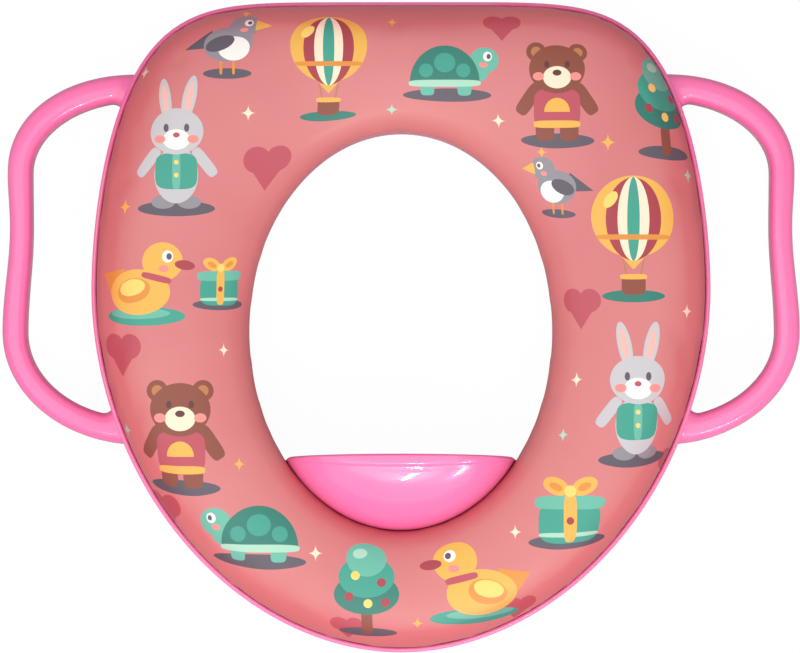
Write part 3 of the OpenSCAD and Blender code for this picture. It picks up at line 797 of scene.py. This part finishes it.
def group(name, inputs, outputs):
    """New shader node group with named sockets, its inner nodes, its input sockets and its output node."""
    tree = bpy.data.node_groups.new(name, "ShaderNodeTree")
    for label, kind, value in inputs:
        socket = tree.interface.new_socket(label, in_out="INPUT", socket_type="NodeSocket" + kind)
        if value is not None:
            socket.default_value = value
    for label, kind in outputs:
        tree.interface.new_socket(label, in_out="OUTPUT", socket_type="NodeSocket" + kind)
    n = Nodes(tree)
    return tree, n, n.add("NodeGroupInput").outputs, n.add("NodeGroupOutput").inputs


def material(name, colour, roughness, **more):
    """Principled material with constants on the shader, its nodes and the shader."""
    made = bpy.data.materials.new(name)
    made.use_nodes = True
    made.node_tree.nodes.clear()
    n = Nodes(made.node_tree)
    shader = n.add("ShaderNodeBsdfPrincipled", {"Base Color": colour, "Roughness": roughness})
    for key, value in more.items():
        shader.inputs[key.replace("_", " ")].default_value = value
    end = n.add("ShaderNodeOutputMaterial")
    n.put(shader.outputs[0], end.inputs[0])
    made.diffuse_color = colour
    return made, n, shader


def dress(obj, made):
    obj.data.materials.clear()
    obj.data.materials.append(made)


def moulding_group():
    """Faint waviness, specks and scuffs of moulded plastic."""
    tree, n, given, out = group("moulding", [("Place", "Vector", None), ("Scuffs", "Float", 0.5)],
                                [("Height", "Float"), ("Tint", "Float"), ("Roughness Shift", "Float")])
    wave = n.noise(given["Place"], 28.0, 2.0)
    fine = n.noise(given["Place"], 900.0, 3.0)
    cloud = n.noise(given["Place"], 9.0, 3.0)
    stretch = n.add("ShaderNodeMapping", {"Vector": given["Place"], "Scale": (300.0, 40.0, 90.0),
                                          "Rotation": (0.3, 0.2, 0.7)})
    lines = n.ramp(n.noise(stretch.outputs[0], 4.0, 4.0), 0.66, 0.72)
    n.put(n.math("ADD", n.math("MULTIPLY", wave, 0.8), n.math("MULTIPLY", fine, 0.06)), out["Height"])
    n.put(n.ramp(cloud, 0.3, 0.7), out["Tint"])
    n.put(n.math("MULTIPLY", lines, given["Scuffs"]), out["Roughness Shift"])
    return tree


moulding = moulding_group()
# How far the rim's top goes over to its paler painted highlight
RIM_HIGHLIGHT = 0.25


def pink_plastic():
    made, n, shader = material("pink_plastic", srgb("f77fb2"), 0.24, Coat_Weight=0.3, Coat_Roughness=0.04,
                               Subsurface_Weight=0.06, Subsurface_Scale=0.004)
    shader.inputs["Subsurface Radius"].default_value = (1.0, 0.45, 0.6)
    place = n.add("ShaderNodeTexCoord").outputs["Object"]
    grain = n.add("ShaderNodeGroup", node_tree=moulding)
    n.put(place, grain.inputs["Place"])
    grain.inputs["Scuffs"].default_value = 0.12
    tone = n.blend(grain.outputs["Tint"], srgb("f46ba5"), srgb("f875ad"))
    # Painted highlight: the rim's rounded top is blended towards a paler pink, as if it caught the light
    rim = n.add("ShaderNodeAttribute", attribute_name="rim").outputs["Fac"]
    n.put(n.blend(n.math("MULTIPLY", rim, RIM_HIGHLIGHT), tone, srgb("ffa2c6")), shader.inputs["Base Color"])
    n.put(n.math("ADD", 0.22, grain.outputs["Roughness Shift"]), shader.inputs["Roughness"])
    n.relief(grain.outputs["Height"], 0.12, 0.0006, shader)
    return made


# Print: flat shapes in the print's own millimetres, gathered into motifs
def shape_groups():
    """Masks that fill a square from -1 to 1: oval, slab with round corners, dome, wedge and spark."""
    made = {}
    for kind in ("oval", "slab", "dome", "wedge", "spark"):
        tree, n, given, out = group(kind, [("Place", "Vector", None)], [("Mask", "Float")])
        local = given["Place"]
        if kind == "slab":
            local = n.vector("MULTIPLY", local, local)
        if kind in ("wedge", "spark"):
            axes = n.add("ShaderNodeSeparateXYZ", {0: local}).outputs
            wide = n.math("ABSOLUTE", axes[0])
        if kind == "wedge":
            slope = n.less(n.math("MULTIPLY_ADD", axes[1], 0.5, third=wide), 0.5)
            inside = n.math("MULTIPLY", slope, n.math("GREATER_THAN", axes[1], -1.0))
        elif kind == "spark":
            high = n.math("ABSOLUTE", axes[1])
            inside = n.less(n.math("ADD", n.math("SQRT", wide), n.math("SQRT", high)), 1.0)
        else:
            inside = n.less(n.length(local), 1.0)
        if kind == "dome":
            high = n.add("ShaderNodeSeparateXYZ", {0: local}).outputs[1]
            inside = n.math("MULTIPLY", inside, n.math("GREATER_THAN", high, 0.0))
        n.put(inside, out["Mask"])
        made[kind] = tree
    return made


SHAPES = shape_groups()
INK = {name: srgb(code) for name, code in {
    "coal": "5c5560", "grey": "8f8a92", "silver": "c3bfc2", "white": "f3ece6", "cream": "f6e0c4",
    "gold": "eab04f", "amber": "dd8e3c", "sun": "f6cf6e", "brown": "8a4a3a", "dark": "5d3532",
    "tan": "b9794e", "teal": "3f9c88", "leaf": "68b59f", "mint": "a9d5bd", "forest": "2f7a6c",
    "rose": "b94f5c", "ruby": "a63d48",
    "blush": "f08d86", "petal": "f2b3a8",
}.items()}


def motif(name, shapes):
    """Group that lays coloured shapes over a ground, listed from the back to the front."""
    tree, n, given, out = group(name, [("Ground", "Color", None), ("Place", "Vector", None)],
                                [("Colour", "Color")])
    colour = given["Ground"]
    for kind, ink, x, y, half_w, half_h, *turn in shapes:
        mask = n.add("ShaderNodeGroup", node_tree=SHAPES[kind])
        n.put(n.within(given["Place"], x, y, half_w, half_h, turn[0] if turn else 0), mask.inputs["Place"])
        colour = n.blend(mask.outputs[0], colour, INK[ink])
    n.put(colour, out["Colour"])
    return tree


RABBIT = [
    ("oval", "coal", 0, -24, 15, 3),
    ("oval", "silver", -5, 19, 2.6, 9, 12), ("oval", "silver", 5, 19, 2.6, 9, -12),
    ("oval", "petal", -5, 19, 1.3, 6.5, 12), ("oval", "petal", 5, 19, 1.3, 6.5, -12),
    ("oval", "grey", -5, -21.5, 4.6, 2.6), ("oval", "grey", 5, -21.5, 4.6, 2.6),
    ("slab", "silver", -11, -6, 2.2, 6.5, -38), ("slab", "silver", 11, -6, 2.2, 6.5, 38),
    ("oval", "silver", 0, -11, 8.5, 11), ("slab", "teal", 0, -9.5, 8.2, 7), ("slab", "leaf", 0, -9.5, 1.6, 7),
    ("oval", "sun", 0, -6, 0.9, 0.9), ("oval", "sun", 0, -11, 0.9, 0.9),
    ("oval", "silver", 0, 6, 10.5, 9), ("oval", "white", 0, 2.8, 5.2, 4),
    ("oval", "blush", -6.5, 3, 2.2, 1.6), ("oval", "blush", 6.5, 3, 2.2, 1.6),
    ("oval", "coal", -4, 7.4, 1, 1.6), ("oval", "coal", 4, 7.4, 1, 1.6), ("oval", "rose", 0, 4.6, 1.3, 1),
]
BEAR = [
    ("oval", "coal", 0, -23, 16, 3.2),
    ("slab", "brown", -5.2, -18, 4, 5), ("slab", "brown", 5.2, -18, 4, 5),
    ("slab", "brown", -12, -5, 3, 7.5, -34), ("slab", "brown", 12, -5, 3, 7.5, 34),
    ("slab", "rose", 0, -9, 10, 8.5), ("slab", "gold", 0, -15.8, 10, 1.6), ("dome", "gold", 0, -10.5, 5.5, 6),
    ("oval", "brown", -9, 15.5, 4.2, 4.2), ("oval", "brown", 9, 15.5, 4.2, 4.2),
    ("oval", "tan", -9, 15.5, 2.2, 2.2), ("oval", "tan", 9, 15.5, 2.2, 2.2),
    ("oval", "brown", 0, 8, 12, 10.5), ("oval", "cream", 0, 4.4, 6, 4.8),
    ("oval", "blush", -8, 4.8, 2.4, 1.8), ("oval", "blush", 8, 4.8, 2.4, 1.8),
    ("oval", "dark", -4.4, 10, 1.1, 1.5), ("oval", "dark", 4.4, 10, 1.1, 1.5),
    ("oval", "dark", 0, 6.4, 1.9, 1.3),
]
BALLOON = [
    ("oval", "forest", 0, -27, 13, 2.6),
    ("slab", "tan", -3.6, -15, 0.35, 6, 12), ("slab", "tan", 3.6, -15, 0.35, 6, -12),
    ("slab", "brown", 0, -22.5, 5, 4), ("slab", "gold", 0, -19, 5.6, 1.1),
    ("wedge", "gold", 0, -9, 13, 7, 180), ("oval", "gold", 0, 6, 17.5, 17),
    ("oval", "ruby", 0, 5, 11.5, 17.2), ("oval", "cream", 0, 5, 6.6, 17.4), ("oval", "teal", 0, 5, 2.6, 17.4),
    ("slab", "amber", 0, -2.5, 15.5, 1.1), ("oval", "sun", -9.5, 13, 2.2, 4, -38),
]
DUCK = [
    ("oval", "teal", 0, -13.5, 17, 3.8), ("oval", "leaf", -2, -12.4, 13, 2.2),
    ("wedge", "amber", -15, 1.5, 7, 5, 62), ("oval", "gold", -2, -4, 13, 9), ("oval", "gold", 8, 8, 8, 7.6),
    ("oval", "amber", -4, -3.4, 7.2, 4.8, 12), ("oval", "sun", -4.4, -2.2, 5.6, 3.2, 12),
    ("oval", "ruby", 16.8, 6.6, 4, 1.9, -8), ("oval", "white", 10, 10, 2.2, 2.4),
    ("oval", "coal", 10.6, 10, 1.1, 1.3),
    ("oval", "blush", 8.4, 5.2, 2, 1.4), ("slab", "rose", 5.6, 1.6, 6, 1.3, -14),
]
TORTOISE = [
    ("oval", "coal", 0, -11.5, 19, 3),
    ("slab", "leaf", -8.5, -8, 3, 3.6), ("slab", "leaf", 7.5, -8, 3, 3.6),
    ("oval", "leaf", 16, 3.5, 6.2, 5.6), ("slab", "leaf", 13, -2, 4, 4, 30),
    ("dome", "forest", -1, -6, 15, 16), ("slab", "mint", -1, -6.3, 15.5, 1.5),
    ("oval", "teal", -1, 2.6, 4.6, 4.2), ("oval", "teal", -9, -0.8, 3, 3), ("oval", "teal", 7, -0.8, 3, 3),
    ("oval", "white", 17.4, 5.2, 1.9, 2.1), ("oval", "coal", 17.9, 5.2, 0.9, 1.1),
    ("oval", "blush", 15.6, 1.6, 1.8, 1.2),
]
GIFT = [
    ("oval", "coal", 0, -12.5, 16.5, 3),
    ("slab", "teal", 0, -5, 12.5, 8), ("slab", "mint", 0, -9.6, 12.4, 0.9), ("slab", "leaf", 0, 3.2, 14, 2.7),
    ("slab", "gold", 0, -3, 2.6, 9.6),
    ("oval", "gold", -5.6, 9.6, 5.4, 3.3, -24), ("oval", "gold", 5.6, 9.6, 5.4, 3.3, 24),
    ("oval", "amber", -5.6, 9.4, 2.8, 1.4, -24), ("oval", "amber", 5.6, 9.4, 2.8, 1.4, 24),
    ("oval", "sun", 0, 7.6, 2.3, 2.3), ("oval", "ruby", 0, -4, 1.5, 1.5),
]
TREE = [
    ("oval", "coal", 0, -22, 13, 2.8),
    ("slab", "brown", 0, -16, 2.4, 7), ("oval", "forest", 0, -3, 14, 9), ("oval", "teal", 0, 4.5, 12, 9),
    ("oval", "leaf", 0, 12.5, 8.6, 8), ("oval", "mint", -2.6, 15, 3.2, 2.4, 20),
    ("oval", "ruby", -7.5, -4, 1.9, 1.9), ("oval", "ruby", 6.4, 2, 1.9, 1.9),
    ("oval", "ruby", 8, -6.5, 1.9, 1.9),
    ("oval", "sun", -4.8, 5, 1.9, 1.9), ("oval", "sun", 0.6, -7, 1.9, 1.9),
]
BIRD = [
    ("oval", "coal", 0, -15, 10, 2.2),
    ("slab", "amber", -2.6, -12, 0.6, 3.4), ("slab", "amber", 2.6, -12, 0.6, 3.4),
    ("wedge", "coal", -12.5, -1, 5, 7, 108), ("oval", "grey", 0, -1.5, 10.5, 8.6),
    ("oval", "white", 2.6, -4, 6.6, 5.6), ("oval", "coal", -3.4, -1.4, 6.4, 3.6, 20),
    ("oval", "grey", 7, 7.5, 6.6, 6.2), ("wedge", "gold", 15, 7, 3.2, 3.4, -96),
    ("oval", "white", 8.6, 9, 1.9, 2), ("oval", "coal", 9, 9, 0.9, 1.1),
    ("oval", "blush", 6.6, 5, 1.8, 1.2), ("spark", "gold", 7, 16, 3, 4),
]
HEART = [
    ("oval", "rose", -3.7, 2.4, 4.5, 4.3), ("oval", "rose", 3.7, 2.4, 4.5, 4.3),
    ("wedge", "rose", 0, -3.1, 7.5, 4.9, 180), ("oval", "rose", 0, 0.2, 3, 2.6),
]
SPARKS = {ink: [("spark", ink, 0, 0, 4.2, 4.8)] for ink in ("cream", "gold", "mint")}

# Each motif's radius, and where its copies stand in the print: x, y, scale, and -1 to turn one about
FAR, NEAR_GAIN = 500.0, 1.25
LAYOUT = [
    ("rabbit", RABBIT, 29, [(-106, 84, 1.22, 1), (112, -34, 1.26, -1)]),
    ("bear", BEAR, 28, [(-104, -50, 1.2, 1), (74, 112, 1.1, 1)]),
    ("balloon", BALLOON, 31, [(-34, 126, 1.04, 1), (110, 44, 1.14, 1)]),
    ("duck", DUCK, 23, [(-122, 20, 1.2, 1), (36, -122, 1.3, -1)]),
    ("tortoise", TORTOISE, 25, [(22, 121, 1.1, 1), (-68, -98, 1.24, -1)]),
    ("gift", GIFT, 20, [(-84, 20, 0.86, 1), (80, -88, 1.2, 1)]),
    ("tree", TREE, 27, [(128, 108, 1.2, 1), (-16, -124, 1.1, 1)]),
    ("bird", BIRD, 21, [(73, 66, 0.95, -1), (-82, 136, 1.15, 1)]),
    ("heart", HEART, 9, [(-62, 74, 1.5, 1), (-134, -14, 1.4, 1), (-118, -92, 1.4, 1), (-26, -146, 1.0, 1),
                         (48, 143, 1.1, 1), (84, 8, 1.3, 1), (58, -138, 1.1, 1), (138, -70, 1.3, 1)]),
    ("pale_spark", SPARKS["cream"], 5, [
        (-72, 100, 0.9, 1), (46, 96, 0.9, 1), (82, -26, 0.9, 1), (54, -98, 0.8, 1),
        (-40, -108, 0.9, 1), (-82, -12, 0.8, 1), (-128, 124, 1.0, 1), (138, 6, 0.9, 1)]),
    ("gold_spark", SPARKS["gold"], 5, [
        (98, 86, 1.0, 1), (-76, -66, 0.8, 1), (8, -142, 0.8, 1), (-132, 56, 1.0, 1), (-4, 146, 0.8, 1)]),
    ("mint_spark", SPARKS["mint"], 5, [
        (-4, 100, 0.8, 1), (76, -52, 0.8, 1), (-136, -52, 0.9, 1), (142, 72, 0.9, 1)]),
]


def spread(n, place, radius, spots):
    """Place as seen by the nearest of a motif's copies, or far off where none is near."""
    nearest = (FAR, FAR, 0)
    for x, y, scale, facing in spots:
        local = n.within(place, x, y, scale * facing, scale)
        near = n.less(n.length(local), radius * NEAR_GAIN)
        pick = n.add("ShaderNodeMix", data_type="VECTOR")
        n.put(near, pick.inputs[0])
        n.put(nearest, pick.inputs[4])
        n.put(local, pick.inputs[5])
        nearest = pick.outputs[1]
    return nearest


# Painted shade: what the vinyl's colour is multiplied by where it turns down at the sides
SIDE_SHADE = (0.98, 0.69, 0.74, 1)
# Tiny share of the colour below that goes into a motif's place
WAIT = (1e-6, 1e-6, 0)


def vinyl():
    made, n, shader = material("printed_vinyl", srgb("e58084"), 0.46, Coat_Weight=0.06, Coat_Roughness=0.25,
                               Specular_IOR_Level=0.4)
    place = n.add("ShaderNodeTexCoord").outputs["Object"]
    plan = n.add("ShaderNodeUVMap", uv_map="print").outputs[0]
    colour = n.blend(n.ramp(n.noise(place, 14.0, 3.0), 0.3, 0.7), srgb("cd7476"), srgb("d27e7e"))
    for name, shapes, radius, spots in LAYOUT[::-1]:
        # Each motif waits for the one below it, which keeps the renderer's working memory small
        after = n.vector("MULTIPLY_ADD", colour, WAIT, plan)
        stamp = n.add("ShaderNodeGroup", node_tree=motif(name, shapes))
        n.put(colour, stamp.inputs["Ground"])
        n.put(spread(n, after, radius, spots), stamp.inputs["Place"])
        colour = stamp.outputs["Colour"]
    # Painted shade: the vinyl is darkened where it turns down from the crown, more on the outer side than the
    # inner
    turned = n.add("ShaderNodeAttribute", attribute_name="turned").outputs["Fac"]
    colour = n.blend(turned, colour, SIDE_SHADE, "MULTIPLY")
    n.put(colour, shader.inputs["Base Color"])
    grain, soft = n.noise(place, 1100.0, 1.0), n.noise(place, 40.0, 2.0)
    n.relief(n.math("ADD", n.math("MULTIPLY", grain, 0.08), soft), 0.3, 0.0007, shader)
    return made


def hidden_material(name, low, high, roughness, scale, stretch=(1, 1, 1), strength=0.3, **more):
    """Two tones in a noise that may run along one axis, and a relief, for a piece under the cushion."""
    made, n, shader = material(name, srgb(low), roughness, **more)
    place = n.add("ShaderNodeTexCoord").outputs["Object"]
    run = n.add("ShaderNodeMapping", {"Vector": place, "Scale": stretch})
    tone = n.noise(run.outputs[0], scale, 4.0)
    n.put(n.blend(n.ramp(tone, 0.35, 0.65), srgb(low), srgb(high)), shader.inputs["Base Color"])
    n.relief(tone, strength, 0.0005, shader)
    return made


dress(base, pink_plastic())
dress(cushion, vinyl())
rubber = hidden_material("grip_rubber", "55525a", "67636b", 0.75, 700)
for node in ("grip_pad_front_left", "grip_pad_front_right", "grip_pad_rear_left", "grip_pad_rear_right"):
    dress(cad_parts[node], rubber)
dress(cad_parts["cushion_board"], hidden_material("board", "9c7448", "c49a68", 0.7, 60, (1, 9, 9)))
dress(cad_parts["cushion_foam"], hidden_material("foam", "efdcae", "f8ecc8", 0.9, 900, strength=0.6))
steel = hidden_material("screw_steel", "b4b7bd", "cfd2d6", 0.35, 500, Metallic=1.0)
dress(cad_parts["cushion_screws"], steel)


# Light: a broad soft panel above, a soft fill from the front, and three strips that glint on the splash guard
def panel(name, place, size, power_w, aim=(0, 0, 0.03), along=(0, 1, 0)):
    """Rectangular light that faces a point, with its length along a direction."""
    data = bpy.data.lights.new(name, "AREA")
    data.shape = "RECTANGLE"
    data.size, data.size_y = size
    data.energy = power_w
    lamp = bpy.data.objects.new(name, data)
    scene.collection.objects.link(lamp)
    away = (Vector(place) - Vector(aim)).normalized()
    side = Vector(along).cross(away).normalized()
    turn = Matrix((side, away.cross(side), away)).transposed().to_4x4()
    lamp.matrix_world = Matrix.Translation(place) @ turn


panel("top_panel", (-0.45, -0.25, 1.6), (1.6, 1.2), 10)
panel("front_fill", (0.0, -1.5, 1.3), (2.4, 1.1), 9)
panel("middle_glint", (0.009, -0.69, 1.094), (0.012, 0.147), 1.1,
      (0.0045, -0.0728, 0.0674), (0.019, 0.126, 0.074))
panel("right_glint", (0.36, -0.75, 1.0), (0.02, 0.3), 3,
      (0.0317, -0.0679, 0.0674), (0.133, 0.103, 0.032))
panel("left_glint", (-0.173, -0.635, 1.112), (0.012, 0.16), 0.5,
      (-0.0236, -0.0681, 0.0682), (0.142, 0.052, 0.048))

# Strengths of the surrounding light and of the floor's glow, and the glow's share where the camera sees it
SKY, FLOOR_GLOW, GLOW_SHARE = 0.62, 1.07, 0.9
FLOOR_TONE, FLOOR_HALF = (0.45, 0.45, 0.45, 1), 3000
world = bpy.data.worlds.new("studio")
scene.world = world
world.use_nodes = True
world.node_tree.nodes.clear()
w = Nodes(world.node_tree)
sky = w.add("ShaderNodeBackground", {"Color": (1, 1, 1, 1), "Strength": SKY})
w.put(sky.outputs[0], w.add("ShaderNodeOutputWorld").inputs[0])

bm = bmesh.new()
bmesh.ops.create_grid(bm, x_segments=1, y_segments=1, size=FLOOR_HALF)
floor = finished(bm, "floor")
made, n, shader = material("pale_floor", FLOOR_TONE, 0.9)
path = n.add("ShaderNodeLightPath")
glow = n.add("ShaderNodeEmission", {"Color": (1, 1, 1, 1), "Strength": FLOOR_GLOW})
both = n.add("ShaderNodeMixShader")
seen = n.math("MULTIPLY", path.outputs["Is Camera Ray"], GLOW_SHARE)
n.put(seen, both.inputs[0])
n.put(shader.outputs[0], both.inputs[1])
n.put(glow.outputs[0], both.inputs[2])
n.put(both.outputs[0], [node for node in made.node_tree.nodes if node.type == "OUTPUT_MATERIAL"][0].inputs[0])
dress(floor, made)

scene.view_settings.view_transform = "Standard"
